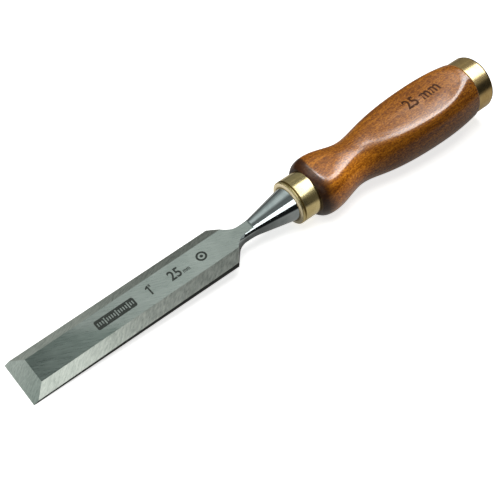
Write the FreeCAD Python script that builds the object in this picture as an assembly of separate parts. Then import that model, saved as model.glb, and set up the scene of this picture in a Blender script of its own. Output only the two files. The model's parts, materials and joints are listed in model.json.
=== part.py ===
"""Bench chisel, 25 mm bevel-edged, lying on a bench with its bevels up.

Every piece is first made on the tool's own axis, then the whole tool is laid down at once.
On the tool's own axis, x runs from the cutting edge to the struck end, y across the blade,
and z away from the flat back, which is the plane z = 0.  Lengths are in millimetres.
"""
import FreeCAD, Part
import math
import os

V = FreeCAD.Vector

# ---- Blade: bevel-edged plate, round neck and conical bolster, forged in one piece ----
blade_width = 25.0
blade_length = 108.0        # cutting edge to the corners of the shoulders
land_height = 1.0           # square side below the side bevel, at the cutting edge
side_bevel_rise = 2.25      # height of each side bevel
blade_thickening = 1.9      # how much thicker the blade is at the shoulders than at the edge
spine_width = 14.0          # flat between the side bevels
edge_bevel_angle = 23.5     # ground bevel behind the cutting edge, degrees
axis_height = 2.15          # tool axis above the flat back
shoulder_angle = 48.0       # taper from the blade to the neck, degrees from the axis
shoulder_fillet = 9.0       # hollow where the taper runs into the neck
neck_radius = 4.2
spine_past_shoulder = 16.5  # the ground spine runs on over the neck by this much
back_past_shoulder = 6.0    # the ground flat back runs on this far before it runs out
wheel_radius = 8.0          # run-out of the flat back under the neck
neck_length = 16.6          # corners of the shoulders to the start of the bolster's cone
bolster_length = 22.5
bolster_radius = 8.7
bolster_blend = 28.0        # hollow between the neck and the cone

# ---- Tang, hidden in the handle ----
tang_length = 64.0
tang_root = 8.0             # across flats at the bolster
tang_tip = 4.0
tang_clearance = 0.1

# ---- Front ferrule: drawn brass cup with a turned-in front ----
ferrule_radius = 11.35
ferrule_wall = 1.1
ferrule_length = 11.3
ferrule_front_fillet = 1.5
lip_thickness = 1.0
lip_clearance = 0.25        # between the lip and the corners of the tang

# ---- Handle: turned and flatted wood; stations are measured from the ferrule's rear edge ----
collar_foot_radius = 12.5
collar_round = (1.6, 14.0)  # station and radius half-way up the rounded collar
collar_crest = (6.7, 15.35)
waist = (26.8, 11.85)
flank = (42.0, 13.9)
swell = (73.0, 16.95)
handle_length = 103.8       # ferrule's rear edge to the hoop's front edge
tail_setback = 1.6          # the rounded end at the hoop starts this far before its edge
tail_radius = 15.35
tail_round = (1.2, 0.35)    # run and drop of the middle of the rounded end
flat_height = 12.3          # flats above and below the axis
collar_ridge = 4.3          # station where the flats meet the sloping front of the collar
collar_slope = 12.0         # that front's slope, degrees
flat_sweep_start = 73.0     # from here the flats sweep outwards and fade before the hoop
flat_sweep_radius = 125.0
seat_clearance = 0.05       # wood inside the ferrule and the hoop

# ---- Rear hoop ----
hoop_radius = 14.45
hoop_wall = 1.3
hoop_length = 10.4
hoop_rear_fillet = 0.6
hoop_front_fillet = 0.3
crown_height = 1.1          # wood standing proud of the hoop's rear edge
crown_rim_gap = 0.25        # wood's rim below the hoop's rear edge

# ---- Places that follow from the sizes ----
spine_end = blade_length + spine_past_shoulder
back_end = blade_length + back_past_shoulder
bolster_start = blade_length + neck_length
bolster_end = bolster_start + bolster_length
ferrule_rear = bolster_end + ferrule_length
hoop_front = ferrule_rear + handle_length
tail = (handle_length - tail_setback, tail_radius)
hoop_rear = hoop_front + hoop_length
tenon_radius = ferrule_radius - ferrule_wall - seat_clearance
hoop_seat_radius = hoop_radius - hoop_wall - seat_clearance
blank_radius = blade_width      # anything wider than the plate
reach = 2.0 * blade_width       # cutters reach past the blade by this much
fine = 0.01                     # how closely the resting place is measured


def turned(edges):
    """Solid turned about the tool axis from edges given in the (x, radius) plane."""
    face = Part.Face(Part.Wire(edges))
    solid = face.revolve(V(0, 0, 0), V(1, 0, 0), 360)
    solid.translate(V(0, 0, axis_height))
    return solid


def line(start, end):
    return Part.makeLine(V(start[0], start[1], 0), V(end[0], end[1], 0))


def arc(start, middle, end):
    return Part.Arc(*(V(x, r, 0) for x, r in (start, middle, end))).toShape()


def polyline(points):
    return [line(a, b) for a, b in zip(points, points[1:])]


def round_corner(before, corner, after, radius):
    """Tangent points and middle of the arc that rounds the corner of two straight runs."""
    to_before = (V(*before, 0) - V(*corner, 0)).normalize()
    to_after = (V(*after, 0) - V(*corner, 0)).normalize()
    half = to_before.getAngle(to_after) / 2
    tangent = radius / math.tan(half)
    bisector = (to_before + to_after).normalize()
    middle = V(*corner, 0) + bisector * (radius / math.sin(half) - radius)
    start = V(*corner, 0) + to_before * tangent
    end = V(*corner, 0) + to_after * tangent
    return [(p.x, p.y) for p in (start, middle, end)]


def side_profile(points_and_arcs, half_width):
    """Solid with the given outline in the side view, reaching half_width to each side."""
    face = Part.Face(Part.Wire(points_and_arcs))
    face.rotate(V(0, 0, 0), V(1, 0, 0), 90)
    face.translate(V(0, half_width, 0))
    return face.extrude(V(0, -2 * half_width, 0))


def forged_blank():
    """Shoulder, neck and bolster as turned, before the blade is ground."""
    slope = math.tan(math.radians(shoulder_angle))
    top = (blade_length - (blank_radius - blade_width / 2) / slope, blank_radius)
    foot = (blade_length + (blade_width / 2 - neck_radius) / slope, neck_radius)
    cone_foot = (bolster_start, neck_radius)
    cone_end = (bolster_end, bolster_radius)
    hollow = round_corner(top, foot, cone_foot, shoulder_fillet)
    blend = round_corner(foot, cone_foot, cone_end, bolster_blend)
    edges = polyline([(bolster_end, 0), (-1, 0), (-1, blank_radius), top, hollow[0]])
    edges += [arc(*hollow), line(hollow[2], blend[0]), arc(*blend)]
    edges += polyline([blend[2], cone_end, (bolster_end, 0)])
    return turned(edges).toNurbs()      # so that no ground edge becomes a hyperbola


def outside_of_section():
    """All that grinding takes off the top and the sides of the blade."""
    half, spine = blade_width / 2, spine_width / 2
    spine_height = land_height + side_bevel_rise
    corners = [(-half, -reach), (-half, land_height), (-spine, spine_height),
               (spine, spine_height), (half, land_height), (half, -reach)]
    back = -reach / blade_length
    shift = V(-reach, 0, back * blade_thickening)
    section = Part.makePolygon([V(0, y, z) + shift for y, z in corners + corners[:1]])
    rise = blade_thickening / blade_length
    length = 2 * reach + blade_length
    kept = Part.Face(section).extrude(V(length, 0, length * rise))
    box = Part.makeBox(spine_end + reach, 2 * reach, 2 * reach, V(-reach, -reach, -reach))
    return box.cut(kept)


def under_the_back():
    """What grinding the flat back takes off, with the wheel's run-out under the neck."""
    low = -wheel_radius
    quarter = wheel_radius * math.sqrt(0.5)
    outline = polyline([(back_end + wheel_radius, low), (back_end + wheel_radius, -reach),
                        (-reach, -reach), (-reach, 0), (back_end, 0)])
    outline.append(arc((back_end, 0), (back_end + quarter, low + quarter),
                       (back_end + wheel_radius, low)))
    return side_profile(outline, reach)


def over_the_edge_bevel():
    """What grinding the cutting edge takes off."""
    height = reach * math.tan(math.radians(edge_bevel_angle))
    return side_profile(polyline([(0, 0), (reach, height), (reach, reach), (-reach, reach),
                                  (-reach, -reach), (0, -reach), (0, 0)]), reach)


def tapered_square(start, length, root, tip):
    """Square taper along the tool axis, as the tang and as the hole for it."""
    taper = Part.makeWedge(-root / 2, 0, -root / 2, -tip / 2, -tip / 2,
                           root / 2, length, root / 2, tip / 2, tip / 2)
    taper.rotate(V(0, 0, 0), V(0, 0, 1), -90)
    taper.translate(V(start, 0, axis_height))
    return taper


def blade():
    ground = forged_blank()
    for waste in (outside_of_section(), under_the_back(), over_the_edge_bevel()):
        ground = ground.cut(waste)
    return ground.fuse(tapered_square(bolster_end, tang_length, tang_root, tang_tip))


def tang_hole():
    return tapered_square(bolster_end, tang_length + tang_clearance,
                          tang_root + 2 * tang_clearance, tang_tip + 2 * tang_clearance)


def front_ferrule():
    hole = tang_root * math.sqrt(0.5) + lip_clearance
    inner = ferrule_radius - ferrule_wall
    inside = bolster_end + lip_thickness
    corner = (bolster_end, ferrule_radius)
    fillet = round_corner((bolster_end, 0), corner, (ferrule_rear, ferrule_radius),
                          ferrule_front_fillet)
    edges = polyline([(inside, hole), (bolster_end, hole), fillet[0]])
    edges.append(arc(*fillet))
    edges += polyline([fillet[2], (ferrule_rear, ferrule_radius), (ferrule_rear, inner),
                       (inside, inner), (inside, hole)])
    return turned(edges)


def handle_curve():
    """Turned outline of the grip, from the ferrule to the rounded end at the hoop."""
    stations = [(0, collar_foot_radius), collar_round, collar_crest, waist, flank, swell, tail]
    curve = Part.BSplineCurve()
    curve.interpolate([V(ferrule_rear + x, r, 0) for x, r in stations])
    return curve


def flat_outline():
    """Side view of the slab that gives the handle its upper and lower flats."""
    front = (ferrule_rear, flat_height - collar_ridge * math.tan(math.radians(collar_slope)))
    ridge = (ferrule_rear + collar_ridge, flat_height)
    sweep = ferrule_rear + flat_sweep_start
    end = hoop_rear + crown_height
    across = end - sweep

    def swept(run):
        return (sweep + run, flat_height + flat_sweep_radius
                - math.sqrt(flat_sweep_radius ** 2 - run ** 2))

    upper = polyline([(bolster_end, front[1]), front, ridge, (sweep, flat_height)])
    upper.append(arc(swept(0), swept(across / 2), swept(across)))
    upper += polyline([swept(across), (end, 0), (bolster_end, 0), (bolster_end, front[1])])
    return upper


def slab():
    half = side_profile(flat_outline(), reach)
    other = half.mirror(V(0, 0, 0), V(0, 0, 1))
    whole = half.fuse(other).removeSplitter()
    whole.translate(V(0, 0, axis_height))
    return whole


def handle():
    curve = handle_curve()
    tail_end = (ferrule_rear + tail[0], tail[1])
    middle = (tail_end[0] + tail_round[0], tail_end[1] - tail_round[1])
    seat_top = (hoop_front, hoop_radius)
    face = bolster_end + lip_thickness
    rim = (hoop_rear - crown_rim_gap, hoop_seat_radius)
    crown = hoop_rear + crown_height
    fall = crown - rim[0]
    crown_radius = (hoop_seat_radius ** 2 + fall ** 2) / (2 * fall)
    half_way = hoop_seat_radius / 2
    crown_middle = (crown - crown_radius + math.sqrt(crown_radius ** 2 - half_way ** 2), half_way)
    edges = polyline([(crown, 0), (face, 0), (face, tenon_radius), (ferrule_rear, tenon_radius),
                      (ferrule_rear, collar_foot_radius)])
    edges.append(curve.toShape())
    edges.append(arc(tail_end, middle, seat_top))
    edges += polyline([seat_top, (hoop_front, hoop_seat_radius), rim])
    edges.append(arc(rim, crown_middle, (crown, 0)))
    return turned(edges).common(slab()).cut(tang_hole())


def rear_hoop():
    inner = hoop_radius - hoop_wall
    front = round_corner((hoop_front, 0), (hoop_front, hoop_radius), (hoop_rear, hoop_radius),
                         hoop_front_fillet)
    rear = round_corner((hoop_front, hoop_radius), (hoop_rear, hoop_radius), (hoop_rear, 0),
                        hoop_rear_fillet)
    edges = polyline([(hoop_rear, inner), (hoop_front, inner), front[0]])
    edges += [arc(*front), line(front[2], rear[0]), arc(*rear), line(rear[2], (hoop_rear, inner))]
    return turned(edges)


def lowest_line():
    """Points (x, depth below the axis) that can touch the bench when the tool lies on it."""
    points = [(bolster_end + ferrule_front_fillet, ferrule_radius), (hoop_front, hoop_radius),
              (ferrule_rear + collar_ridge, flat_height)]
    sweep = ferrule_rear + flat_sweep_start
    curve = handle_curve()
    samples = 800
    for i in range(samples + 1):
        share = i / samples
        point = curve.value(curve.FirstParameter * (1 - share) + curve.LastParameter * share)
        run = max(point.x - sweep, 0)
        flat = flat_height + flat_sweep_radius - math.sqrt(flat_sweep_radius ** 2 - run ** 2)
        if point.x > ferrule_rear + collar_ridge:
            points.append((point.x, min(point.y, flat)))
    return points


def resting_tilt():
    """Angle that lays the cutting edge and the tool's lowest line on one plane."""
    return math.degrees(max(math.atan2(depth - axis_height, x) for x, depth in lowest_line()))


def lay_down(shapes):
    """Tilt the finished tool onto its cutting edge and handle, centred over the origin."""
    tilt = resting_tilt()
    for shape in shapes.values():
        shape.rotate(V(0, 0, 0), V(0, 1, 0), -tilt)
    points = [point for shape in shapes.values() for point in shape.tessellate(fine)[0]]
    middle = (min(p.x for p in points) + max(p.x for p in points)) / 2
    bottom = min(p.z for p in points)
    for shape in shapes.values():
        shape.translate(V(-middle, 0, -bottom))


def main():
    shapes = {"blade": blade(), "front_ferrule": front_ferrule(),
              "handle": handle(), "rear_hoop": rear_hoop()}
    lay_down(shapes)
    os.makedirs("parts", exist_ok=True)
    for name, shape in shapes.items():
        shape.exportStep("parts/" + name + ".step")


main()
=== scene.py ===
# %% [markdown]
# # A bench chisel, dressed for its picture
# A bevel-edged bench chisel is four pieces: a forged blade, a brass ferrule, a turned and
# flatted beech handle, and a brass hoop that keeps the struck end from splitting.
# The CAD model already has each piece at its true size and in its true place, so this lesson
# adds what the CAD leaves out: softened edges, ground and polished steel, drawn brass,
# stained and varnished wood, and the size marks.

# %% Start from the CAD frame
import json
import math
import bmesh
import bpy
import numpy as np
from mathutils import Matrix, Vector

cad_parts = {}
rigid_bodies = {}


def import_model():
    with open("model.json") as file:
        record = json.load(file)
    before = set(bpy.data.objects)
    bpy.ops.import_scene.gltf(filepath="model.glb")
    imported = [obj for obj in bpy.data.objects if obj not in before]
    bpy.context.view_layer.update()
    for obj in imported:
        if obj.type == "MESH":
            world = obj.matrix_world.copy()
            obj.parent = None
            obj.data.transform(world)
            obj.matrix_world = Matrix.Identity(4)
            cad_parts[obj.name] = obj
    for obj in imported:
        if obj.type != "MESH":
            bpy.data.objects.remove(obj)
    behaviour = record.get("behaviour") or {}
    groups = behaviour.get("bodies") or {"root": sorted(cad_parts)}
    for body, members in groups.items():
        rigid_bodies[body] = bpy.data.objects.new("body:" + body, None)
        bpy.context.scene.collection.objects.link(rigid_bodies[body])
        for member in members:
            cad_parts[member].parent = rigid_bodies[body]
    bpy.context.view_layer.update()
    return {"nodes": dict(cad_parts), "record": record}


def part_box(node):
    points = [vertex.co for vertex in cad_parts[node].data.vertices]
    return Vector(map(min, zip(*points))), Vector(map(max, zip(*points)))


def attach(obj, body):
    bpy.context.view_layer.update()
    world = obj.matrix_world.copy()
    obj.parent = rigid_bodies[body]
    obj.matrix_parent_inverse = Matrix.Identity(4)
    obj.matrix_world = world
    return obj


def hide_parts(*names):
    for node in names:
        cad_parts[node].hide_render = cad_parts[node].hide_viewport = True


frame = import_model()

# %% [markdown]
# The tool lies on its cutting edge and its handle, so its own axis is a few degrees off level.
# Each piece is drawn on the tool's own axes instead, in millimetres: x from the cutting edge to
# the struck end, y across, z up from the flat back. One matrix then lays it down. The axis comes
# from the record's mounts, and the cutting edge from the blade's own box.

# %% The tool's own axes
mounts = {mount["name"]: mount for mount in frame["record"]["mounts"]}
along = Vector(mounts["hoop_outside"]["axis"]).normalized()
upward = Vector((-along.z, 0, along.x))
cutting_edge = Vector((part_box("blade")[0].x, 0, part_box("blade")[0].z))
axes = Matrix((along, (0, 1, 0), upward)).transposed().to_4x4()
lay_down = Matrix.Translation(cutting_edge) @ axes @ Matrix.Scale(0.001, 4)
stand_up = lay_down.inverted()
print("tilt, degrees:", round(math.degrees(math.asin(along.z)), 3))

# %% [markdown]
# The sizes of the real chisel, in millimetres. Handle stations are pairs: a place along the
# grip, and the radius there.

# %% Sizes on the tool's axes
axis_height = 2.15
blade_width, blade_length, land_height = 25.0, 108.0, 1.0
side_bevel_rise, blade_thickening, spine_width, spine_end = 2.25, 1.9, 14.0, 124.5
neck_end, bolster_end, ferrule_rear, hoop_front, hoop_rear = 124.6, 147.1, 158.4, 262.2, 272.6
shoulder_angle, shoulder_hollow, neck_radius, cone_hollow, bolster_radius = 48.0, 9.0, 4.2, 28.0, 8.7
ferrule_radius, ferrule_wall, bead_width, groove_width, groove_depth = 11.35, 1.1, 1.3, 0.8, 0.35
hoop_radius, hoop_wall, hoop_chamfer = 14.45, 1.3, 0.9
stations = [(0, 12.5), (1.6, 14.0), (6.7, 15.35), (26.8, 11.85), (42.0, 13.9), (73.0, 16.95), (102.2, 15.35)]
flat_height, collar_ridge, collar_slope = 12.3, 4.3, 12.0
flat_sweep_start, flat_sweep_radius = 73.0, 125.0
crown_height, crown_rim_gap, seat_clearance = 1.1, 0.25, 0.05
print("from cutting edge to crown, mm:", round(hoop_rear + crown_height, 2))

# %% [markdown]
# The first helper puts something in the scene, and the second makes it a piece that rides on
# the chisel's one body.

# %% Helpers for pieces
def placed(name, data):
    holder = bpy.data.objects.new(name, data)
    bpy.context.scene.collection.objects.link(holder)
    return holder


def as_piece(name, mesh, node=None):
    piece = placed(name, mesh)
    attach(piece, "root")
    if node:
        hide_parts(node)
    print(name, "faces:", len(mesh.polygons))


# %% [markdown]
# The next ones add a node, fill or link its sockets, and do sums with nodes.

# %% Helpers for nodes
def fill(tree, node, inputs):
    for name, value in inputs.items():
        if isinstance(value, bpy.types.NodeSocket):
            tree.links.new(value, node.inputs[name])
        else:
            node.inputs[name].default_value = value


def add(tree, kind, inputs=None, family="ShaderNode", **settings):
    made = tree.nodes.new(family + kind)
    for name, value in settings.items():
        setattr(made, name, value)
    fill(tree, made, inputs or {})
    return made


def maths(tree, operation, first, second=0.0, third=0.0):
    return add(tree, "Math", {0: first, 1: second, 2: third}, operation=operation).outputs[0]


def product(tree, result, *factors):
    for factor in factors:
        result = maths(tree, "MULTIPLY", result, factor)
    return result


def total(tree, result, *parts):
    """The first value, and every part times its weight."""
    for part, weight in parts:
        result = maths(tree, "MULTIPLY_ADD", part, weight, result)
    return result


def split(tree, vector):
    return list(add(tree, "SeparateXYZ", {0: vector}).outputs)


def joined(tree, x=0.0, y=0.0, z=0.0):
    return add(tree, "CombineXYZ", {0: x, 1: y, 2: z}).outputs[0]


# %% [markdown]
# Every material turns the piece's own coordinates into the tool's millimetres with a Mapping
# node. A pattern can then run along the blade or round the handle, in marks to the millimetre.

# %% Helpers inside a material
def new_material(name):
    material = bpy.data.materials.new(name)
    material.use_nodes = True
    tree = material.node_tree
    here = add(tree, "TexCoord").outputs["Object"]
    place = add(tree, "Mapping", {"Vector": here, "Location": stand_up.to_translation(),
                                  "Rotation": stand_up.to_quaternion().to_euler(),
                                  "Scale": (1000, 1000, 1000)}).outputs[0]
    print("material", name)
    return material, tree, tree.nodes["Principled BSDF"], place


def ramp(tree, value, *stops):
    made = add(tree, "ValToRGB", {"Fac": value})
    while len(made.color_ramp.elements) < len(stops):
        made.color_ramp.elements.new(0.5)
    for element, (position, colour) in zip(made.color_ramp.elements, stops):
        element.position, element.color = position, (*colour, 1)
    return made.outputs["Color"]


def spread(tree, value, low, high, to_low, to_high, kind="LINEAR"):
    numbers = {"Value": value, "From Min": low, "From Max": high, "To Min": to_low, "To Max": to_high}
    return add(tree, "MapRange", numbers, interpolation_type=kind).outputs[0]


def ease(tree, *numbers):
    return spread(tree, *numbers, kind="SMOOTHSTEP")


def blend(tree, share, first, second, how="MIX"):
    colours = {0: share, 6: first, 7: (*second, 1)}
    return add(tree, "Mix", colours, data_type="RGBA", blend_type=how).outputs[2]


def wire_up(tree, shader, colour, roughness, height, depth, others=None):
    """Fills the shader, with a bump whose full height is depth millimetres."""
    bump = add(tree, "Bump", {"Height": height, "Strength": 1.0, "Distance": depth / 1000})
    fill(tree, shader, {"Base Color": colour, "Roughness": roughness, "Normal": bump.outputs[0]})
    fill(tree, shader, others or {})


# %% [markdown]
# A pattern that several finishes need is a node group, which is made once and used with other
# numbers in each. A noise is stretched by multiplying the place before it is read.

# %% Helpers for patterns
def times(tree, vector, factors):
    return add(tree, "VectorMath", {0: vector, 1: factors}, operation="MULTIPLY").outputs[0]


def titled(inputs):
    return {name.replace("_", " ").capitalize(): value for name, value in inputs.items()}


def cloud(tree, vector, **inputs):
    return add(tree, "TexNoise", {"Vector": vector, **titled(inputs)}).outputs[0]


def open_group(name, inputs, outputs, kind="ShaderNodeTree"):
    """A new group. An input is given by its first value, or by its sort where it has none."""
    tree = bpy.data.node_groups.new(name, kind)
    for title, value in inputs.items():
        sort = {float: "Float", int: "Int"}.get(type(value), value)
        socket = tree.interface.new_socket(title, in_out="INPUT", socket_type="NodeSocket" + sort)
        if sort != value:
            socket.default_value = value
    for title, sort in outputs.items():
        tree.interface.new_socket(title, in_out="OUTPUT", socket_type="NodeSocket" + sort)
    print("group", name, "makes", ", ".join(outputs))
    return tree, tree.nodes.new("NodeGroupInput").outputs, tree.nodes.new("NodeGroupOutput").inputs


def open_pattern(name, numbers, *outputs):
    """A group that makes values from a place and some numbers."""
    return open_group(name, {"Place": "Vector", **numbers}, dict.fromkeys(outputs, "Float"))


def use(tree, group, place, **numbers):
    """What a group makes at this place, from its numbers."""
    return add(tree, "Group", {"Place": place, **titled(numbers)}, node_tree=group).outputs


# %% [markdown]
# A grinding wheel leaves long fine scratches, all one way, with a broader and fainter streak
# here and there: a noise that is stretched along them. Each steel uses it at its own angle.

# %% Grinding marks as a group
grinding, given, result = open_pattern(
    "grinding_marks", {"Angle": 0.0, "Scratches per mm": 3.0, "Streaks per mm": 0.9}, "Scratches", "Streaks")
turned_place = add(grinding, "VectorRotate", {"Vector": given["Place"], "Angle": given["Angle"]},
                   rotation_type="Z_AXIS").outputs[0]
for title, stretch in (("Scratches", 0.05), ("Streaks", 0.12)):
    per_mm = given[title + " per mm"]
    factors = joined(grinding, product(grinding, per_mm, stretch), per_mm, per_mm)
    marks = cloud(grinding, times(grinding, turned_place, factors), scale=1.0, detail=3.0, roughness=0.6)
    grinding.links.new(marks, result[title])

# %% [markdown]
# Work on a lathe, and polishing while it turns, leaves rings round the axis. The group reads
# only the place along the axis, with a little waver, so the rings close on themselves.

# %% Turning rings as a group
turning, given, result = open_pattern("turning_rings", {"Rings per mm": 2.0}, "Rings")
stretched = times(turning, given["Place"], joined(turning, given["Rings per mm"], 0.02, 0.02))
turning.links.new(cloud(turning, stretched, scale=1.0, detail=3.0, roughness=0.65), result["Rings"])

# %% [markdown]
# Nothing that is handled shines evenly: fingers, dust and old polish leave cloudy patches. The
# metals and the marks all get a share of the same clouds.

# %% Handling clouds as a group
handling, given, result = open_pattern("handling_clouds", {"Patches per mm": 0.1}, "Clouds")
patches = cloud(handling, given["Place"], scale=given["Patches per mm"], detail=4.0, roughness=0.55,
                distortion=0.6)
handling.links.new(patches, result["Clouds"])

# %% [markdown]
# ## Ground steel
# Each face of the blade was ground with the wheel set its own way. A metallic Principled shader
# gives the sheen. The scratches tilt the surface a little with a Bump node and change its
# roughness and tone, as grinding does on real steel. A slanting part of the spine's end and one
# side of the honed end are darkened by place: painted shade.

# %% Ground steel
def ground_steel(name, angle, dark, light, roughness, depth, streak_share=0.5, contrast=0.9, painted_shade_place=None):
    material, tree, shader, place = new_material(name)
    turn = math.radians(angle)
    scratches, streaks = use(tree, grinding, place, angle=turn, scratches_per_mm=3.2, streaks_per_mm=1.3)
    both = add(tree, "Mix", {0: streak_share, 2: scratches, 3: streaks}).outputs[0]
    patches = use(tree, handling, place, patches_per_mm=0.09)[0]
    tone = total(tree, 0.25 - contrast / 2, (both, contrast), (patches, 0.5))
    colour = ramp(tree, tone, (0.3, dark), (0.72, light))
    # Painted shade: where it is asked for, a slanting part of the face or one side of it is darkened by
    # place.
    if painted_shade_place:
        along_share, across_share, dull_up_to, bright_from = painted_shade_place
        x, y, _ = split(tree, place)
        way = total(tree, 0.0, (x, along_share), (y, across_share))
        painted_shade_share = ease(tree, way, dull_up_to, bright_from, 1.0, 0.0)
        colour = blend(tree, painted_shade_share, colour, (0.65, 0.70, 0.685), "MULTIPLY")
    uneven = spread(tree, both, 0.3, 0.7, roughness - 0.07, roughness + 0.07)
    wire_up(tree, shader, colour, uneven, both, depth, {"Metallic": 1.0})
    return material


steel_spine = ground_steel("steel_spine", 28, (0.40, 0.45, 0.42), (0.62, 0.67, 0.63), 0.30, 0.010,
                           contrast=1.3, painted_shade_place=(1, 1.4, 33, 45))
steel_bevel = ground_steel("steel_bevel", -38, (0.46, 0.49, 0.445), (0.74, 0.765, 0.7), 0.33, 0.018, 0.7, 1.5)
steel_end = ground_steel("steel_end", -25, (0.50, 0.54, 0.50), (0.72, 0.76, 0.71), 0.34, 0.012, 0.6, 2.3,
                         painted_shade_place=(0, 1, -16, 11))
steel_back = ground_steel("steel_back", 90, (0.48, 0.50, 0.49), (0.66, 0.69, 0.67), 0.24, 0.006)
# The lands get a far darker steel than the other faces: painted shade.
steel_side = ground_steel("steel_side", 0, (0.12, 0.13, 0.12), (0.24, 0.25, 0.23), 0.42, 0.008)

# %% [markdown]
# ## Polished steel
# The shoulders, neck and cone were turned and buffed bright. The same metal gets far less
# roughness, and only the faintest rings, so that it mirrors the lights in clean bands.

# %% Polished steel
def clouded(name, per_mm, dark, light, roughness, depth, others=None, rings_per_mm=None):
    """A finish whose tone and roughness follow the handling clouds."""
    material, tree, shader, place = new_material(name)
    clouds = height = use(tree, handling, place, patches_per_mm=per_mm)[0]
    if rings_per_mm:
        height = use(tree, turning, place, rings_per_mm=rings_per_mm)[0]
    colour, uneven = ramp(tree, clouds, dark, light), spread(tree, clouds, 0.3, 0.7, *roughness)
    wire_up(tree, shader, colour, uneven, height, depth, others)
    return material


steel_bright = clouded("steel_bright", 0.22, (0.3, (0.46, 0.515, 0.52)), (0.75, (0.58, 0.63, 0.635)),
                       (0.06, 0.11), 0.0002, {"Metallic": 1.0}, rings_per_mm=1.4)

# %% [markdown]
# ## Brass
# The ferrule and the hoop are drawn brass tube, trued on the lathe and buffed. Tarnish gathers
# in browner, duller clouds. The buffing wheel never reached the turned-in front of the ferrule.
# It stayed a pale satin, which scatters light much as paint does, so there the shader is only
# partly metallic. Where the ferrule meets the steel, and in the groove behind its bead (more so
# towards the top), the brass is darkened: painted shade. The struck rim of the hoop is darkened
# too. The hoop has been handled more and is browner.

# %% Brass
def buffed_brass(name, dull, bright):
    material, tree, shader, place = new_material(name)
    rings = use(tree, turning, place, rings_per_mm=2.2)[0]
    shine = total(tree, 0.0, (rings, 0.25), (use(tree, handling, place, patches_per_mm=0.25)[0], 0.8))
    x, y, z = split(tree, place)
    up, groove = maths(tree, "SUBTRACT", z, axis_height), bolster_end + bead_width + groove_width / 2
    from_axis = maths(tree, "SQRT", total(tree, 0.0, (up, up), (y, y)))
    front = product(tree, spread(tree, from_axis, ferrule_radius - 0.6, ferrule_radius - 0.25, 1.0, 0.0),
                    spread(tree, x, bolster_end + 0.7, bolster_end + 0.9, 1.0, 0.0))
    by_steel = spread(tree, from_axis, bolster_radius + 0.2, bolster_radius + 1.0, 1.0, 0.0)
    from_groove = maths(tree, "ABSOLUTE", maths(tree, "SUBTRACT", x, groove))
    in_groove = product(tree, spread(tree, z, 0.0, 5.0, 0.2, 1.0),
                        spread(tree, from_groove, groove_width / 2, groove_width, 1.0, 0.0))
    rim = spread(tree, x, hoop_rear - hoop_chamfer - 0.35, hoop_rear - hoop_chamfer - 0.05, 0.0, 1.0)
    # Painted shade at the joint with the steel and in the groove, more towards the top; the hoop's chamfered
    # rim is darkened as well.
    painted_shade_and_rim = maths(tree, "MAXIMUM", product(tree, by_steel, front), maths(tree, "MAXIMUM", in_groove, rim))
    colour = blend(tree, front, ramp(tree, shine, (0.35, dull), (0.7, bright)), (0.86, 0.74, 0.48))
    wire_up(tree, shader, blend(tree, painted_shade_and_rim, colour, (0.32, 0.27, 0.15), "MULTIPLY"),
            total(tree, spread(tree, shine, 0.3, 0.75, 0.27, 0.19), (in_groove, 0.3)), rings, 0.0008,
            {"Metallic": spread(tree, front, 0.0, 1.0, 1.0, 0.3)})
    return material


brass = buffed_brass("brass_buffed", (0.80, 0.64, 0.30), (0.98, 0.80, 0.40))
brass_aged = buffed_brass("brass_aged", (0.80, 0.54, 0.20), (0.98, 0.71, 0.32))

# %% [markdown]
# ## Stained and varnished beech
# Beech has no bold figure. It has pores the size of a pinprick, short flecks along the grain and
# soft bands where the growth rings are cut. Each is one noise, stretched by its own amount.

# %% Beech grain as a group
grain, given, result = open_pattern("beech_grain", {}, "Flecks", "Bands", "Pores")
for title, factors, detail, warp in (
        ("Flecks", (0.26, 1.9, 1.9), 3.0, 0.25), ("Bands", (0.018, 0.16, 0.16), 2.0, 1.2),
        ("Pores", (0.85, 1.5, 1.5), 2.0, 0.0)):
    stretched = times(grain, given["Place"], factors)
    figure = cloud(grain, stretched, scale=1.0, detail=detail, roughness=0.6, distortion=warp)
    grain.links.new(figure, result[title])

# %% [markdown]
# The stain sinks deeper into the end grain round the collar, which turns nearly black. It stops
# sharply at the flats, a little farther back on the far side, and fades gradually on the side
# that is handled most. The varnish is the shader's coat, a little thinner at the waist, where a
# thumb and finger hold the tool.

# %% Beech
beech, tree, shader, place = new_material("beech_varnished")
wood = use(tree, grain, place)
tone = total(tree, -0.2, (wood["Pores"], 0.95), (wood["Bands"], 0.5), (wood["Flecks"], 0.5))
colour = ramp(tree, tone, (0.54, (0.13, 0.035, 0.002)), (0.77, (0.36, 0.114, 0.007)),
              (0.98, (0.62, 0.23, 0.018)))
x, y, z = split(tree, place)
ragged = total(tree, x, (maths(tree, "MAXIMUM", y, 0.0), -0.14), (wood["Flecks"], 1.6))
ridge = ferrule_rear + collar_ridge
near_side = product(tree, ease(tree, y, -9.0, -4.5, 1.0, 0.0), ease(tree, z, -9.0, 1.0, 0.35, 1.0))
fades_from = spread(tree, near_side, 0.0, 1.0, ridge + 0.2, ridge - 1.8)
fades_to = spread(tree, near_side, 0.0, 1.0, ridge + 1.8, ridge + 5.4)
soaked = ease(tree, ragged, fades_from, fades_to, 0.88, 0.0)
waist = product(tree, ease(tree, y, -1.5, 2.5, 1.0, 0.0), ease(tree, x, 177, 188, 0.0, 1.0),
                ease(tree, x, 199, 214, 1.0, 0.0))
edge_on = add(tree, "LayerWeight", {"Blend": 0.5}).outputs["Facing"]
satin = product(tree, spread(tree, edge_on, 0.5, 0.95, 1.0, 0.2), spread(tree, soaked, 0.0, 0.88, 1.0, 0.45),
                spread(tree, waist, 0.0, 1.0, 1.0, 0.65))
height = total(tree, 0.0, (wood["Flecks"], 0.4), (use(tree, turning, place, rings_per_mm=1.1)[0], 0.6))
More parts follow.
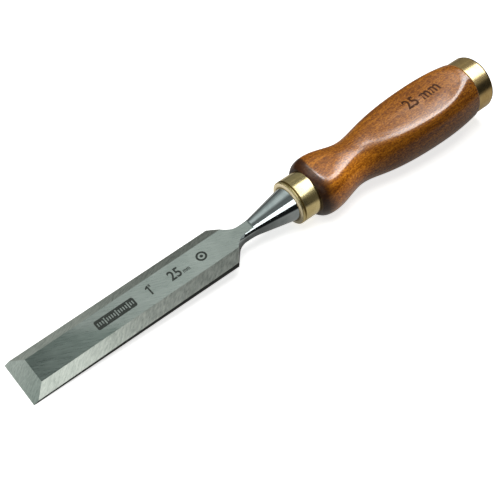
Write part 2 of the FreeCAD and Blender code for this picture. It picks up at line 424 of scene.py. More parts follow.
wire_up(tree, shader, blend(tree, soaked, colour, (0.020, 0.0075, 0.0055)),
        spread(tree, wood["Flecks"], 0.3, 0.7, 0.42, 0.30), height, 0.03,
        {"Specular IOR Level": 0.25, "Coat Weight": satin, "Coat Roughness": 0.15})

# %% [markdown]
# The marks on the blade are etched, dark and dull. The number on the handle is burnt in with a
# hot stamp, a very dark brown, and the varnish over it has sunk in.

# %% Etched and burnt marks
etched = clouded("etched_mark", 1.6, (0.3, (0.012, 0.016, 0.013)), (0.75, (0.045, 0.055, 0.047)),
                 (0.45, 0.65), 0.004)
burnt = clouded("burnt_mark", 1.2, (0.35, (0.040, 0.012, 0.002)), (0.75, (0.120, 0.040, 0.007)),
                (0.5, 0.35), 0.02, {"Specular IOR Level": 0.1, "Coat Weight": 0.06, "Coat Roughness": 0.25})

# %% [markdown]
# ## The blade
# A forging is ground to shape, and a stone has just broken the edges between its faces. The CAD
# blade has perfectly sharp edges, which never catch the light. So its mesh is copied, and the
# double corners are merged.

# %% A merged copy of the blade
cad_blade = frame["nodes"]["blade"].data
blade_mesh = bpy.data.meshes.new("blade")
blade_mesh.from_pydata([stand_up @ v.co for v in cad_blade.vertices], [],
                       [p.vertices[:] for p in cad_blade.polygons])
work = bmesh.new()
work.from_mesh(blade_mesh)
bmesh.ops.remove_doubles(work, verts=work.verts, dist=0.002)
bmesh.ops.dissolve_limit(work, angle_limit=math.radians(0.3), verts=work.verts, edges=work.edges)
print("blade faces, before and after merging:", len(cad_blade.polygons), len(work.faces))

# %% [markdown]
# Each face takes its steel from where it is and which way it looks.

# %% A steel for each face
def finished(mesh, *finishes):
    mesh.materials.clear()
    for finish in finishes:
        mesh.materials.append(finish)
    return mesh


finished(blade_mesh, steel_bright, steel_spine, steel_bevel, steel_end, steel_back, steel_side)
bright, spine, bevel, end, back, side = range(6)
squarely, flat_back_end, honed_end = 0.999, blade_length + 8, 20
bevel_tilt = side_bevel_rise / math.hypot(side_bevel_rise, (blade_width - spine_width) / 2)
for face in work.faces:
    middle, n = face.calc_center_median(), face.normal
    face.smooth = True
    if n.z < -squarely and middle.x < flat_back_end:
        face.material_index = back
    elif n.z > squarely and abs(n.y) < 0.01 and middle.x < spine_end:
        face.material_index = spine
    elif middle.x < blade_length and abs(abs(n.y) - bevel_tilt) < 0.02:
        face.material_index = bevel
    elif middle.x < blade_length and abs(n.y) > squarely:
        face.material_index = side
    elif middle.x < honed_end and n.x < -0.3:
        face.material_index = end
print("blade faces by steel:", np.bincount([face.material_index for face in work.faces]))

# %% [markdown]
# Every edge that turns by more than a few degrees is beveled by about a tenth of a millimetre,
# but not the cutting edge, which is kept keen. One modifier does it, weighing each edge by
# itself, and a second keeps the large faces looking flat beside the new strips.

# %% Soften the blade's edges
def mesh_of(holder):
    """The holder's mesh with its modifiers applied. The holder itself goes."""
    bpy.context.view_layer.update()
    done = bpy.data.meshes.new_from_object(holder.evaluated_get(bpy.context.evaluated_depsgraph_get()))
    bpy.data.objects.remove(holder)
    return done


least_turn, edge_break = math.radians(14), 0.12
weight = work.edges.layers.float.new("bevel_weight_edge")
for edge in work.edges:
    if edge.calc_face_angle(0) > least_turn and edge.verts[0].co.x < bolster_end - 1:
        keen = all(v.co.x < 0.01 and v.co.z < 0.01 for v in edge.verts)
        edge.smooth = False
        edge[weight] = 0.0 if keen else 1.0
work.to_mesh(blade_mesh)
work.free()
holder = placed("blade_work", blade_mesh)
for kind, settings in (
        ("BEVEL", {"limit_method": "WEIGHT", "width": edge_break, "segments": 2, "use_clamp_overlap": True}),
        ("WEIGHTED_NORMAL", {"keep_sharp": True, "weight": 80})):
    modifier = holder.modifiers.new(kind.lower(), kind)
    for setting, value in settings.items():
        setattr(modifier, setting, value)
blade_mesh = mesh_of(holder)
blade_mesh.transform(lay_down)
print("blade faces with broken edges:", len(blade_mesh.polygons))

# %% [markdown]
# The neck and the cone came out of the CAD as narrow flat strips, and polished metal shows every
# strip. The strips stay, but at each corner the normal is set to what a turned surface has there,
# from the slope of its outline and the direction from the axis.

# %% True normals on the turned steel
def turned_slope(x):
    """How fast the blade's turned outline widens at x: the taper, its hollow, the neck, the cone."""
    taper = math.tan(math.radians(shoulder_angle))
    cone = (bolster_radius - neck_radius) / (bolster_end - neck_end)
    hollow_end = (blade_length + (blade_width / 2 - neck_radius) / taper
                  + shoulder_hollow * math.tan(math.radians(shoulder_angle / 2)))
    blend_start = neck_end - cone_hollow * math.tan(math.atan(cone) / 2)
    before = np.tan(np.arcsin(np.clip((hollow_end - x) / shoulder_hollow, 0, 0.9)))
    after = np.tan(np.arcsin(np.clip((x - blend_start) / cone_hollow, 0, 0.9)))
    return np.minimum(after, cone) - np.minimum(before, taper)


to_frame = lay_down.to_3x3().normalized()


def turned_normal(at):
    outward_y, outward_z = np.array([at.y, at.z - axis_height]) / math.hypot(at.y, at.z - axis_height)
    return to_frame @ Vector((-turned_slope(at.x), outward_y, outward_z)).normalized()


facing_alike = 0.97
shown, corrected = [Vector(c.vector) for c in blade_mesh.corner_normals], 0
for face in blade_mesh.polygons:
    middle = stand_up @ face.center
    if face.material_index == bright and blade_length < middle.x < bolster_end - 0.01:
        if turned_normal(middle).dot(face.normal) > facing_alike:
            corrected += 1
            for corner in face.loop_indices:
                at = blade_mesh.vertices[blade_mesh.loops[corner].vertex_index].co
                shown[corner] = turned_normal(stand_up @ at)
blade_mesh.normals_split_custom_set(shown)
print("faces that now mirror as turned:", corrected)
as_piece("chisel_blade", blade_mesh, "blade")

# %% [markdown]
# ## Turned rings: the ferrule and the hoop
# A lathe carries one profile round an axis, and a Geometry Nodes tree can do the same. It takes
# the profile as a closed loop of corners, rounds each corner by its own amount, and wraps a grid
# so that one side follows the profile and the other goes round the axis. Its seams are merged.

# %% A lathe in Geometry Nodes
def shape(tree, kind, worked_on=None, inputs=None, **settings):
    filled = {**({0: worked_on} if worked_on else {}), **(inputs or {})}
    return add(tree, kind, filled, "GeometryNode", **settings).outputs[0]


def open_tree(name, inputs):
    return open_group(name, {"Geometry": "Geometry", **inputs}, {"Geometry": "Geometry"}, "GeometryNodeTree")


lathe, given, result = open_tree("lathe", {"Segments": 160, "Corner steps": 6, "Finish": "Material"})
rounding = shape(lathe, "InputNamedAttribute", "rounding", data_type="FLOAT")
loop = shape(lathe, "MeshToCurve", given["Geometry"])
profile = shape(lathe, "FilletCurve", loop, {"Radius": rounding, "Count": given["Corner steps"]}, mode="POLY")
size = add(lathe, "AttributeDomainSize", {"Geometry": profile}, "GeometryNode", component="CURVE")
count = size.outputs["Point Count"]
rows = maths(lathe, "ADD", given["Segments"], 1.0)
grid = shape(lathe, "MeshGrid", None, {"Vertices X": maths(lathe, "ADD", count, 1.0), "Vertices Y": rows})
index = maths(lathe, "ADD", shape(lathe, "InputIndex"), 0.5)
column = maths(lathe, "MODULO", maths(lathe, "FLOOR", maths(lathe, "DIVIDE", index, rows)), count)
row = maths(lathe, "FLOOR", maths(lathe, "MODULO", index, rows))
corner = {"Value": shape(lathe, "InputPosition"), "Index": column}
point = shape(lathe, "SampleIndex", profile, corner, data_type="FLOAT_VECTOR", domain="POINT")
along_axis, from_axis, _ = split(lathe, point)
angle = maths(lathe, "DIVIDE", product(lathe, row, 2 * math.pi), given["Segments"])
around = joined(lathe, along_axis, product(lathe, from_axis, maths(lathe, "SINE", angle)),
                product(lathe, from_axis, maths(lathe, "COSINE", angle)))
ring = shape(lathe, "SetPosition", grid, {"Position": around})
ring = shape(lathe, "MergeByDistance", ring, {"Distance": 0.0005})
ring = shape(lathe, "RealizeInstances", shape(lathe, "SetShadeSmooth", ring))
lathe.links.new(shape(lathe, "SetMaterial", ring, {"Material": given["Finish"]}), result[0])

# %% [markdown]
# A tree is used through a modifier. Its inputs are set by each socket's identifier, and the
# result is copied out as a plain mesh. A wrapped mesh may be inside out, so its faces are then
# turned outwards.

# %% Running a tree
def grown(name, tree, mesh, **inputs):
    holder = placed(name, mesh)
    modifier = holder.modifiers.new("grown", "NODES")
    modifier.node_group = tree
    named = {item.name: item.identifier for item in tree.interface.items_tree if item.in_out == "INPUT"}
    for title, value in titled(inputs).items():
        modifier[named[title]] = value
    holder.update_tag()
    return mesh_of(holder)


def outward(mesh, sharp=40):
    work = bmesh.new()
    work.from_mesh(mesh)
    bmesh.ops.recalc_face_normals(work, faces=work.faces)
    for edge in work.edges:
        edge.smooth = edge.calc_face_angle(0) < math.radians(sharp)
    loose = sum(1 for edge in work.edges if not edge.is_manifold)
    work.to_mesh(mesh)
    work.free()
    print(mesh.name, "open edges:", loose)
    return mesh


def turned_ring(name, corners, finish):
    """A ring about the tool's axis from corners (x, radius, rounding)."""
    loop, count = bpy.data.meshes.new(name + "_profile"), len(corners)
    loop.from_pydata([(x, r, 0) for x, r, _ in corners], [(i, (i + 1) % count) for i in range(count)], [])
    loop.attributes.new("rounding", "FLOAT", "POINT").data.foreach_set("value", [c[2] for c in corners])
    ring = grown(name, lathe, loop, segments=192, corner_steps=8, finish=finish)
    ring.transform(lay_down @ Matrix.Translation((0, 0, axis_height)))
    return outward(finished(ring, finish))


# %% [markdown]
# The ferrule is a cup: its front is turned in over the end of the wood, round the tang. Its
# front corner is a small rounded bead with a groove behind it. The hoop is plain tube with a
# narrow chamfer at the struck end.

# %% The ferrule and the hoop
lip, hole, inner = bolster_end + 1.0, 5.9, ferrule_radius - ferrule_wall
groove_from, groove_floor, groove_side = bolster_end + bead_width, ferrule_radius - groove_depth, 0.13
groove_to = groove_from + groove_width
ferrule = turned_ring("ferrule", [
    (lip, hole, 0), (bolster_end, hole, 0.1), (bolster_end, bolster_radius + 0.5, 0.3),
    (bolster_end + 0.4, ferrule_radius, 0.7), (groove_from, ferrule_radius, 0.1),
    (groove_from + groove_side, groove_floor, 0.08), (groove_to - groove_side, groove_floor, 0.08),
    (groove_to, ferrule_radius, 0.15), (ferrule_rear, ferrule_radius, 0.12), (ferrule_rear, inner, 0),
    (lip, inner, 0.3)], brass)
as_piece("brass_ferrule", ferrule, "front_ferrule")
hoop = turned_ring("hoop", [
    (hoop_front, hoop_radius - hoop_wall, 0), (hoop_front, hoop_radius, 0.3),
    (hoop_rear - hoop_chamfer, hoop_radius, 0.3), (hoop_rear, hoop_radius - 0.42, 0.2),
    (hoop_rear, hoop_radius - hoop_wall, 0.25)], brass_aged)
as_piece("brass_hoop", hoop, "rear_hoop")

# %% [markdown]
# ## The handle
# The grip is turned and then flatted above and below, and the sander rounds over the edges of
# the flats. In each direction from the axis the wood ends at the turned outline or at the flat,
# whichever is nearer, and a soft minimum takes off the corner where the two meet. The turned
# outline is a smooth spline through the stations.

# %% The turned outline
def spline_through(points, samples=4000):
    """A smooth cubic through the points, spaced by the distance between them."""
    p = np.array(points, float)
    u = np.concatenate([[0], np.cumsum(np.hypot(*np.diff(p, axis=0).T))])
    h, n = np.diff(u), len(p)
    system, right = np.eye(n), np.zeros((n, 2))
    for end, chosen in ((0, slice(0, 4)), (n - 1, slice(n - 4, n))):
        for k in (0, 1):
            right[end, k] = np.polyval(np.polyder(np.polyfit(u[chosen], p[chosen, k], 3)), u[end])
    for i in range(1, n - 1):
        system[i, i - 1], system[i, i], system[i, i + 1] = 1 / h[i - 1], 2 / h[i - 1] + 2 / h[i], 1 / h[i]
        right[i] = 3 * ((p[i] - p[i - 1]) / h[i - 1] ** 2 + (p[i + 1] - p[i]) / h[i] ** 2)
    slope = np.linalg.solve(system, right)
    w = np.linspace(0, u[-1], samples)
    i = np.clip(np.searchsorted(u, w) - 1, 0, n - 2)
    t = ((w - u[i]) / h[i])[:, None]
    return (p[i] * (2 * t**3 - 3 * t**2 + 1) + p[i + 1] * (3 * t**2 - 2 * t**3)
            + h[i][:, None] * (slope[i] * (t**3 - 2 * t**2 + t) + slope[i + 1] * (t**3 - t**2)))


outline = spline_through([(ferrule_rear + x, r) for x, r in stations])
cad_x, cad_y, cad_z = np.array([stand_up @ v.co for v in frame["nodes"]["handle"].data.vertices]).T
on_side = (abs(cad_z - axis_height) < 0.01) & (cad_y > 11) & (cad_x > ferrule_rear + 0.01) & (cad_x < 260)
gap = abs(np.interp(cad_x[on_side], *outline.T) - cad_y[on_side])
print("outline leaves the CAD by, mm:", round(float(gap.max()), 4))

# %% [markdown]
# The flats aren't quite flat: they sweep up towards the hoop, slope down at the collar and are
# very slightly crowned, as a belt sander leaves them.

# %% The flats and the soft minimum
ridge_rounding, flat_crown = 1.0, 75.0


def flat_at(x):
    run = np.maximum(x - ferrule_rear - flat_sweep_start, 0)
    swept = flat_height + flat_sweep_radius - np.sqrt(flat_sweep_radius**2 - run**2)
    before = ridge - x
    rounded = (before + np.sqrt(before**2 + ridge_rounding**2)) / 2 * math.tan(math.radians(collar_slope))
    return swept - rounded


def crowned(height, towards):
    """Distance from the axis to a crowned flat, in the directions towards."""
    up, over = np.maximum(abs(np.cos(towards)), 1e-6), np.sin(towards) ** 2 / (2 * flat_crown)
    crowned_at = (np.sqrt(up**2 + 4 * over * height) - up) / np.maximum(2 * over, 1e-12)
    return np.where(over < 1e-9, height / up, crowned_at)


def soft_minimum(first, second, softness):
    near = np.maximum(softness - abs(first - second), 0) / softness
    return np.minimum(first, second) - near**2 * softness / 4


angles = np.linspace(0, 2 * math.pi, 256, endpoint=False)


def round_ring(x, radius):
    y, z = radius * np.sin(angles), radius * np.cos(angles) + axis_height
    return np.column_stack([np.full(len(angles), x), y, z])


def grip_ring(x, radius):
    softness = np.interp(x, (220, 250), (2.2, 1.0))
    return round_ring(x, soft_minimum(np.full(len(angles), radius), crowned(flat_at(x), angles), softness))


# %% [markdown]
# Rings are close together where the shape turns quickly, at the collar and at the hoop. The
# wood goes on inside the ferrule and the hoop, and the rounded crown stands a little proud of
# the hoop for the mallet.

# %% The handle as rings
tenon = ferrule_radius - ferrule_wall - seat_clearance
seat = hoop_radius - hoop_wall - seat_clearance
front = np.concatenate([np.linspace(ferrule_rear, ferrule_rear + 2, 14, endpoint=False),
                        np.linspace(ferrule_rear + 2, ridge - 1.2, 6, endpoint=False),
                        np.linspace(ridge - 1.2, ridge + 1.4, 18, endpoint=False),
                        np.linspace(ridge + 1.4, outline[-1, 0], 150)])
rings = [round_ring(bolster_end + 1.0, tenon), round_ring(ferrule_rear, tenon)]
rings += [grip_ring(x, r) for x, r in zip(front, np.interp(front, *outline.T))]
tail_x, tail_r = outline[-1]
for turn in np.linspace(0, math.pi / 2, 9)[1:]:
    rings.append(grip_ring(tail_x + (hoop_front - tail_x) * math.sin(turn),
                           hoop_radius + (tail_r - hoop_radius) * math.cos(turn)))
rings += [round_ring(hoop_front, seat), round_ring(hoop_rear - crown_rim_gap, seat)]
fall = crown_height + crown_rim_gap
crown_radius = (seat**2 + fall**2) / (2 * fall)
for r in np.linspace(seat, 0, 12)[1:-1]:
    rings.append(round_ring(hoop_rear + crown_height - crown_radius + math.sqrt(crown_radius**2 - r**2), r))
print("rings:", len(rings), "of", len(angles))

# %% [markdown]
# The rings become one closed skin, with a point in the middle of each end.

# %% Rings into a closed mesh
count, last = len(angles), (len(rings) - 1) * len(angles)
tips = [(bolster_end + 1.0, 0, axis_height), (hoop_rear + crown_height, 0, axis_height)]
sides = [(j, (j + 1) % count) for j in range(count)]
faces = [(k + a, k + b, k + b + count, k + a + count) for k in range(0, last, count) for a, b in sides]
for a, b in sides:
    faces += [(last + count, b, a), (last + count + 1, last + a, last + b)]
handle_mesh = bpy.data.meshes.new("handle")
handle_mesh.from_pydata(np.concatenate(rings + [np.array(tips)]).tolist(), [], faces)
handle_mesh.polygons.foreach_set("use_smooth", [True] * len(faces))
handle_mesh.transform(lay_down)
as_piece("beech_handle", outward(finished(handle_mesh, beech), 35), "handle")

# %% [markdown]
# ## Marks
# A chisel says how wide it is, in inches and in millimetres. The figures are text, turned
# into thin solid shapes and stretched to the height and width of the real marks.

# %% Letters into thin solids
def letters(text, left, right, low, high, thick):
    font = bpy.data.curves.new(text, "FONT")
    font.body, font.size, font.extrude, font.offset, font.resolution_u = text, 1.0, 0.5, 0.022, 4
    mesh = mesh_of(placed("letters", font))
    work = bmesh.new()
    work.from_mesh(mesh)
    bmesh.ops.remove_doubles(work, verts=work.verts, dist=1e-5)
    co = np.array([v.co for v in work.verts])
    lo, hi = co.min(0), co.max(0)
    for v in work.verts:
        share = (np.array(v.co) - lo) / (hi - lo)
        v.co = (left + share[0] * (right - left), low + share[1] * (high - low), (share[2] - 0.5) * thick)
    bmesh.ops.recalc_face_normals(work, faces=work.faces)
    work.to_mesh(mesh)
    work.free()
    return mesh


def figure_one(left, right, low, high, thick):
    """The figure 1 as a stem with a flag, because a plain stroke would read as a line."""
    stem = right - (right - left) * 0.42
    corners = [(stem, low), (right, low), (right, high), (stem + 0.1, high), (left, high - 1.15),
               (left + 0.25, high - 1.7), (stem, high - 1.25)]
    mesh, count = bpy.data.meshes.new("one"), len(corners)
    sides = [(k, (k + 1) % count, (k + 1) % count + count, k + count) for k in range(count)]
    mesh.from_pydata([(x, y, z) for z in (-thick / 2, thick / 2) for x, y in corners], [],
                     [tuple(reversed(range(count))), tuple(range(count, 2 * count))] + sides)
    return mesh


# %% [markdown]
# A mark is drawn flat, and then dropped onto the spine, which rises towards the handle.

# %% The figures on the blade
mark_thickness = 0.03


def spine_height(x, y):
    return land_height + side_bevel_rise + blade_thickening * x / blade_length


def dropped(mesh, height_at):
    """Drops a thin flat mesh onto a surface whose height above the flat back is height_at(x, y)."""
    for v in mesh.vertices:
        v.co.z += height_at(v.co.x, v.co.y)
    mesh.transform(lay_down)
    return mesh


def marked(name, mesh, height_at=spine_height, finish=etched):
    as_piece(name, finished(dropped(mesh, height_at), finish))


marked("mark_one", figure_one(66.75, 68.65, -2.1, 3.6, mark_thickness))
marked("mark_inch", letters('"', 68.95, 69.75, 2.1, 3.8, mark_thickness))
marked("mark_width", letters("25", 78.6, 84.6, -2.3, 3.5, mark_thickness))
marked("mark_mm", letters("mm", 85.4, 88.9, -2.0, -0.3, mark_thickness))

# %% [markdown]
# A short scale of ticks in a dark bar and a plain ring stand where a maker would put a name. A
# tree draws the bar with rounded ends, closes it below, and stands a row of thin blocks on it,
# with every fifth one taller.

# %% A scale of ticks in Geometry Nodes
def join(tree, *parts):
    both = add(tree, "JoinGeometry", family="GeometryNode")
    for part in parts:
        tree.links.new(part, both.inputs[0])
    return both.outputs[0]


scale, given, result = open_tree("tick_scale", {
    "Length": 20.4, "Height": 5.4, "Rounding": 0.9, "Thickness": mark_thickness, "Ticks": 16,
    "Tick width": 0.5, "Bar finish": "Material", "Tick finish": "Material"})
length, height, thickness = given["Length"], given["Height"], given["Thickness"]
sheet = shape(scale, "CurvePrimitiveQuadrilateral", length, {"Height": height})
sheet = shape(scale, "FilletCurve", sheet, {"Radius": given["Rounding"], "Count": 6}, mode="POLY")
sheet = shape(scale, "FillCurve", sheet, mode="NGONS")
risen = shape(scale, "ExtrudeMesh", sheet, {"Offset": joined(scale, z=1.0), "Offset Scale": thickness})
bar = join(scale, risen, shape(scale, "FlipFaces", sheet))
bar = shape(scale, "MergeByDistance", bar, {"Distance": 0.001})
bar = shape(scale, "SetMaterial", bar, {"Material": given["Bar finish"]})
pitch = maths(scale, "DIVIDE", length, maths(scale, "ADD", given["Ticks"], 1.0))
start = joined(scale, maths(scale, "SUBTRACT", pitch, product(scale, length, 0.5)))
row = shape(scale, "MeshLine", given["Ticks"], {"Start Location": start, "Offset": joined(scale, pitch)})
row = shape(scale, "SetPosition", row, {"Offset": joined(scale, z=product(scale, thickness, 1.3))})
block = joined(scale, given["Tick width"], product(scale, height, 0.66), product(scale, thickness, 0.5))
tick = shape(scale, "MeshCube", block)
fifth = maths(scale, "MODULO", maths(scale, "ADD", shape(scale, "InputIndex"), 2.0), 5.0)
reach = joined(scale, 1.0, total(scale, 0.55, (maths(scale, "COMPARE", fifth, 0.0, 0.1), 0.45)), 1.0)
ticks = shape(scale, "InstanceOnPoints", row, {"Instance": tick, "Scale": reach})
ticks = shape(scale, "RealizeInstances", ticks)
ticks = shape(scale, "SetMaterial", ticks, {"Material": given["Tick finish"]})
scale.links.new(join(scale, bar, ticks), result[0])

# %% [markdown]
# A second tree carries a flat oblong section round a circle, which gives a closed band, and
# adds a dot in the middle.

# %% A ring with a dot
ringed, given, result = open_tree("ring_and_dot", {
    "Radius": 2.2, "Line": 1.0, "Dot": 0.85, "Thickness": mark_thickness, "Finish": "Material"})
circle = shape(ringed, "CurvePrimitiveCircle", 40, {"Radius": given["Radius"]})
section = shape(ringed, "CurvePrimitiveQuadrilateral", given["Line"], {"Height": given["Thickness"]})
band = shape(ringed, "CurveToMesh", circle, {"Profile Curve": section})
dot = shape(ringed, "MeshCylinder", 24, {"Radius": given["Dot"], "Depth": given["Thickness"]})
both = shape(ringed, "RealizeInstances", join(ringed, band, dot))
ringed.links.new(shape(ringed, "SetMaterial", both, {"Material": given["Finish"]}), result[0])

# %% [markdown]
# A tree leaves an empty first material on its mesh, so the finishes are sorted before each
# mark is set down in its place on the spine.

# %% The scale and the ring on the blade
def set_at(mesh, x, y):
    mesh.transform(Matrix.Translation((x, y, 0)))
    slots = list(mesh.materials)
    kept = [finish for finish in slots if finish]
    chosen = [kept.index(slots[face.material_index]) for face in mesh.polygons]
    finished(dropped(mesh, spine_height), *kept)
    mesh.polygons.foreach_set("material_index", chosen)
    print(mesh.name, "faces by finish:", dict(zip([finish.name for finish in kept], np.bincount(chosen))))
    return outward(mesh)


seed = bpy.data.meshes.new("tick_scale_seed")
ticked = grown("tick_scale", scale, seed, bar_finish=etched, tick_finish=steel_spine)
as_piece("mark_scale", set_at(ticked, 49.9, 0.5))
dotted = grown("ring_and_dot", ringed, bpy.data.meshes.new("ring_seed"), finish=etched)
as_piece("mark_ring", set_at(dotted, 96.6, 0.4))

# %% [markdown]
# The number on the handle is made like the figures on the blade, but it follows the flat and
# its slight crown.

# %% The number on the handle
def grip_height(x, y):
    return axis_height + float(flat_at(np.array(x))) - y**2 / (2 * flat_crown)


marked("mark_handle", letters("25 mm", 224.5, 246.5, -1.8, 5.2, 0.05), grip_height, burnt)

# %% [markdown]
# ## Floor, light and camera
# The chisel lies on a wide sheet of pale paper, but white paper would fill polished metal with
# light. So a Light Path node gives the floor three faces: pale paper to look at, which glows a
# little and more so far off, a painted reflection to what mirrors it, and a dark cloth to the
# light that would bounce off it.

# %% Floor
bpy.ops.mesh.primitive_plane_add(size=60)
floor = bpy.context.object
floor.name = "floor"
floor_finish, tree, paper, place = new_material("floor_paper")
away = add(tree, "VectorMath", {0: place}, operation="LENGTH").outputs["Value"]
fill(tree, paper, {"Base Color": (0.93, 0.93, 0.925, 1), "Roughness": 0.8, "Specular IOR Level": 0.2,
                   "Emission Color": (1.0, 1.0, 0.995, 1),
                   "Emission Strength": ease(tree, away, 600, 2600, 0.76, 0.93)})
x, y, _ = split(tree, place)
# Painted reflection and shade: to mirrored rays the floor glows a dim grey that is darker under the blade and
# beside the handle, and fainter to the sides.
beside_handle = product(tree, ease(tree, x, 178, 215, 0.0, 0.5), ease(tree, x, 255, 300, 1.0, 0.55))
near = product(tree, ease(tree, x, 118, 168, 0.11, 0.46), maths(tree, "SUBTRACT", 1.0, beside_handle))
mirrored_glow_strength = product(tree, near, ease(tree, maths(tree, "ABSOLUTE", y), 40, 330, 1.0, 0.16))
mirrored_floor_glow = add(tree, "Emission", {"Color": (1.0, 0.98, 0.93, 1), "Strength": mirrored_glow_strength})
cloth = add(tree, "BsdfDiffuse", {"Color": (0.32, 0.31, 0.30, 1)})
ray = add(tree, "LightPath").outputs
unseen = add(tree, "MixShader", {0: ray["Is Glossy Ray"], 1: cloth.outputs[0], 2: mirrored_floor_glow.outputs[0]})
both = add(tree, "MixShader", {0: ray["Is Camera Ray"], 1: unseen.outputs[0], 2: paper.outputs[0]})
tree.links.new(both.outputs[0], tree.nodes["Material Output"].inputs["Surface"])
floor.data.materials.append(floor_finish)

# %% [markdown]
# The room is treated in the same way. It is a white backdrop to look at, but nearly dark
# otherwise, and only what mirrors it finds a window there, beyond the cutting edge.

# %% The room
world = bpy.data.worlds.new("studio")
bpy.context.scene.world = world
world.use_nodes = True
room, backdrop = world.node_tree, world.node_tree.nodes["Background"]
x, y, z = split(room, add(room, "TexCoord").outputs["Generated"])
rays = add(room, "LightPath").outputs
window = product(room, ease(room, x, -0.65, -0.25, 0.42, 0.0), ease(room, z, -0.05, 0.2, 0.0, 1.0))
dark = ease(room, total(room, z, (y, 0.6)), -0.1, 0.55, 0.012, 0.06)
dim = add(room, "Background", {"Color": (0.92, 1.0, 0.97, 1),
                               "Strength": total(room, dark, (window, rays["Is Glossy Ray"]))})
backdrop.inputs["Color"].default_value = (0.965, 0.965, 0.96, 1)
seen = add(room, "MixShader", {0: rays["Is Camera Ray"], 1: dim.outputs[0], 2: backdrop.outputs[0]})
room.links.new(seen.outputs[0], room.nodes["World Output"].inputs["Surface"])
print("room nodes:", len(room.nodes))

# %% [markdown]
# Varnish returns a few hundredths of what falls on it and brass nearly all, so no lamp can be
# right for both. Light linking gives each its own: its receivers are put in a collection, and
# the lamp shines on nothing else.

# %% What each lamp shines on
def receivers(name, *starts, apart_from=()):
    group = bpy.data.collections.new(name)
    for piece in bpy.context.scene.objects:
        if piece.name.startswith(starts) and piece.name not in apart_from:
            group.objects.link(piece)
    return group


wooden = receivers("wooden", "beech_handle", "mark_handle")
brass_made = receivers("brass_made", "brass")
steel_made = receivers("steel_made", "chisel", "mark", apart_from=("mark_handle",))

# %% [markdown]
# One soft lamp overhead lights everything. Most of the others are only there to be mirrored, as
# the white cards in a studio are.

# %% Lamps and cards
def hung(light, place, aim, only, card):
    holder = placed(light.name, light)
    holder.location = place
    holder.rotation_euler = (Vector(aim) - Vector(place)).to_track_quat("-Z", "Y").to_euler()
    holder.visible_camera = False
    holder.visible_glossy = card
    holder.visible_diffuse = not card
    if only:
        holder.light_linking.receiver_collection = only
    print("lamp", light.name)


def lamp(name, place, aim, width, height, radiance, colour, only, card=True):
    light = bpy.data.lights.new(name, "AREA")
    light.shape, light.size, light.size_y, light.color = "RECTANGLE", width, height, colour
    light.energy = radiance * math.pi * width * height
    hung(light, place, aim, only, card)


def card_above(name, x, y, width, depth, radiance, colour, only, height=0.60):
    lamp(name, (x, y, height), (x, y, 0), width, depth, radiance, colour, only)


def strips_above(name, x, width, colour, only, *strips):
    """Cards side by side, each with its own radiance, so that the sheen fades at its sides."""
    for number, (y_from, y_to, radiance) in enumerate(strips):
        card_above(f"{name}_{number}", x, (y_from + y_to) / 2, width, y_to - y_from, radiance, colour, only)


def snoot(name, place, aim, power, beam, colour, only):
    """A lamp in a tube, which lights one small place softly."""
    light = bpy.data.lights.new(name, "SPOT")
    light.energy, light.spot_size, light.spot_blend, light.color = power, math.radians(beam), 1.0, colour
    hung(light, place, aim, only, card=False)


# %% [markdown]
# The cards of the wood hang where the flat, the waist and the collar mirror them, and one narrow
# beam lifts the flank behind the ferrule.

# %% The lamp for everything, and the cards for the wood
white, daylight = (1, 1, 1), (0.93, 0.98, 1.0)
lamp("soft_overhead", (0.0, 0.25, 1.3), (0, 0, 0), 1.3, 1.3, 3.2, (1.0, 0.99, 0.97), None, card=False)
card_above("card_over_varnish", 0.555, -0.034, 0.52, 0.222, 10.0, daylight, wooden)
card_above("card_over_waist", 0.255, -0.010, 0.08, 0.17, 6.5, daylight, wooden)
card_above("card_sheen_back", 0.56, 0.34, 0.18, 0.16, 2.2, (1.0, 0.95, 0.88), wooden)
strips_above("card_sheen", 0.4975, 0.305, daylight, wooden,
             (0.077, 0.175, 5.6), (0.175, 0.215, 3.9), (0.215, 0.26, 2.2))
card_above("card_on_corner", 0.185, 0.20, 0.11, 0.24, 14.0, white, wooden)
card_above("card_beyond_ridge", 0.20, 0.40, 0.08, 0.14, 7.5, (1.0, 0.84, 0.68), wooden)
card_above("card_on_collar", 0.10, 0.31, 0.07, 0.16, 2.6, (1.0, 0.72, 0.52), wooden)
flank = lay_down @ Vector((166.5, -7, 8))
snoot("snoot_on_flank", (0.45, -0.30, 0.25), flank, 9.5, 4.0, (1.0, 0.98, 0.95), wooden)

# %% [markdown]
# A brass tube draws a card out into a bright line along itself. The hoop and the ferrule have
# one each. A weak one at the near side keeps the lower half from going black, two very large,
# dim ones stand for the ceiling and the far wall, and a soft lamp lights the satin front.

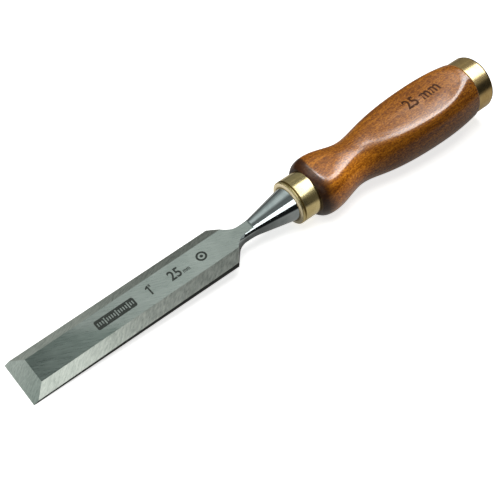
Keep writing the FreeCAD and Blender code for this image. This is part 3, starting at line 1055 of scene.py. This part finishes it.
# %% Cards for the brass
card_above("card_over_hoop", 0.575, -0.055, 0.45, 0.49, 4.2, (0.65, 0.75, 1.0), brass_made)
card_above("card_over_ferrule", 0.275, -0.135, 0.15, 0.69, 3.5, (0.8, 0.87, 1.0), brass_made)
lamp("card_beside_ferrule", (0.23, -0.4, 0.24), (0.23, 0, 0.24), 0.11, 0.42, 0.1, (1, 0.95, 0.8), brass_made)
lamp("room_over_brass", (0, 0, 1.5), (0, 0, 0), 4, 4, 0.14, (1.0, 1.0, 0.93), brass_made)
lamp("room_behind_brass", (0, 1.5, 0.7), (0, 0, 0.7), 4, 1.4, 0.15, (1.0, 1.0, 0.93), brass_made)
lamp("soft_front", (-0.42, 0.36, 0.34), (0, 0, 0), 0.3, 0.3, 16.0, (1.0, 0.99, 1.0), brass_made, card=False)

# %% [markdown]
# The blade's faces mirror what hangs over and behind the tool, a band of cards that fades at
# both sides. An upright card at the near side draws the white line along the neck. The others
# keep the metal from going black on the tool's other sides.

# %% Cards for the steel
pale_green = (0.94, 1, 0.97)
card_above("card_over_blade", -0.162, -0.05, 0.18, 0.11, 1.05, (0.95, 1, 0.98), steel_made, height=0.21)
strips_above("card_behind_blade", 0.105, 0.31, pale_green, steel_made,
             (0.03, 0.11, 0.12), (0.11, 0.19, 0.34), (0.19, 0.56, 0.56), (0.56, 0.9, 0.42), (0.9, 1.6, 0.31))
lamp("card_low_behind", (-0.16, 0.60, 0.17), (-0.16, 0, 0.10), 0.36, 0.34, 0.30, pale_green, steel_made)
lamp("card_far_behind", (0.35, 1.8, 0.42), (0.35, 0, 0.42), 1.1, 0.6, 0.14, (0.95, 1, 0.97), steel_made)
lamp("card_past_the_edge", (-0.76, 0.62, 0.60), (-0.13, 0, 0), 0.40, 0.40, 0.18, (0.95, 1, 0.96), steel_made)
lamp("card_far_beyond", (1.6, -0.8, 0.75), (0, -0.1, 0), 2.2, 1.3, 0.40, (0.95, 1, 0.98), steel_made)
lamp("card_near_side", (0.05, -0.40, 0.48), (0.05, 0, 0.48), 0.22, 0.46, 2.6, white, steel_made)
lamp("room_over_steel", (0, 0, 1.5), (0, 0, 0), 4, 4, 0.13, (0.95, 1, 0.98), steel_made)

# %% [markdown]
# The camera looks down on the tool over its cutting edge, and is turned until the chisel lies
# across the picture from corner to corner.

# %% Camera
camera = placed("camera", bpy.data.cameras.new("camera"))
camera.data.lens, camera.data.sensor_width, camera.data.clip_start = 66.264, 36, 0.01
camera.location = (-0.18711, -0.225, 0.32711)
camera.rotation_euler = [math.radians(turn) for turn in (40.59, 0.862, -38.739)]
bpy.context.scene.camera = camera
bpy.context.scene.view_settings.view_transform = "Standard"
print("camera to tool, m:", round(camera.location.length, 3))
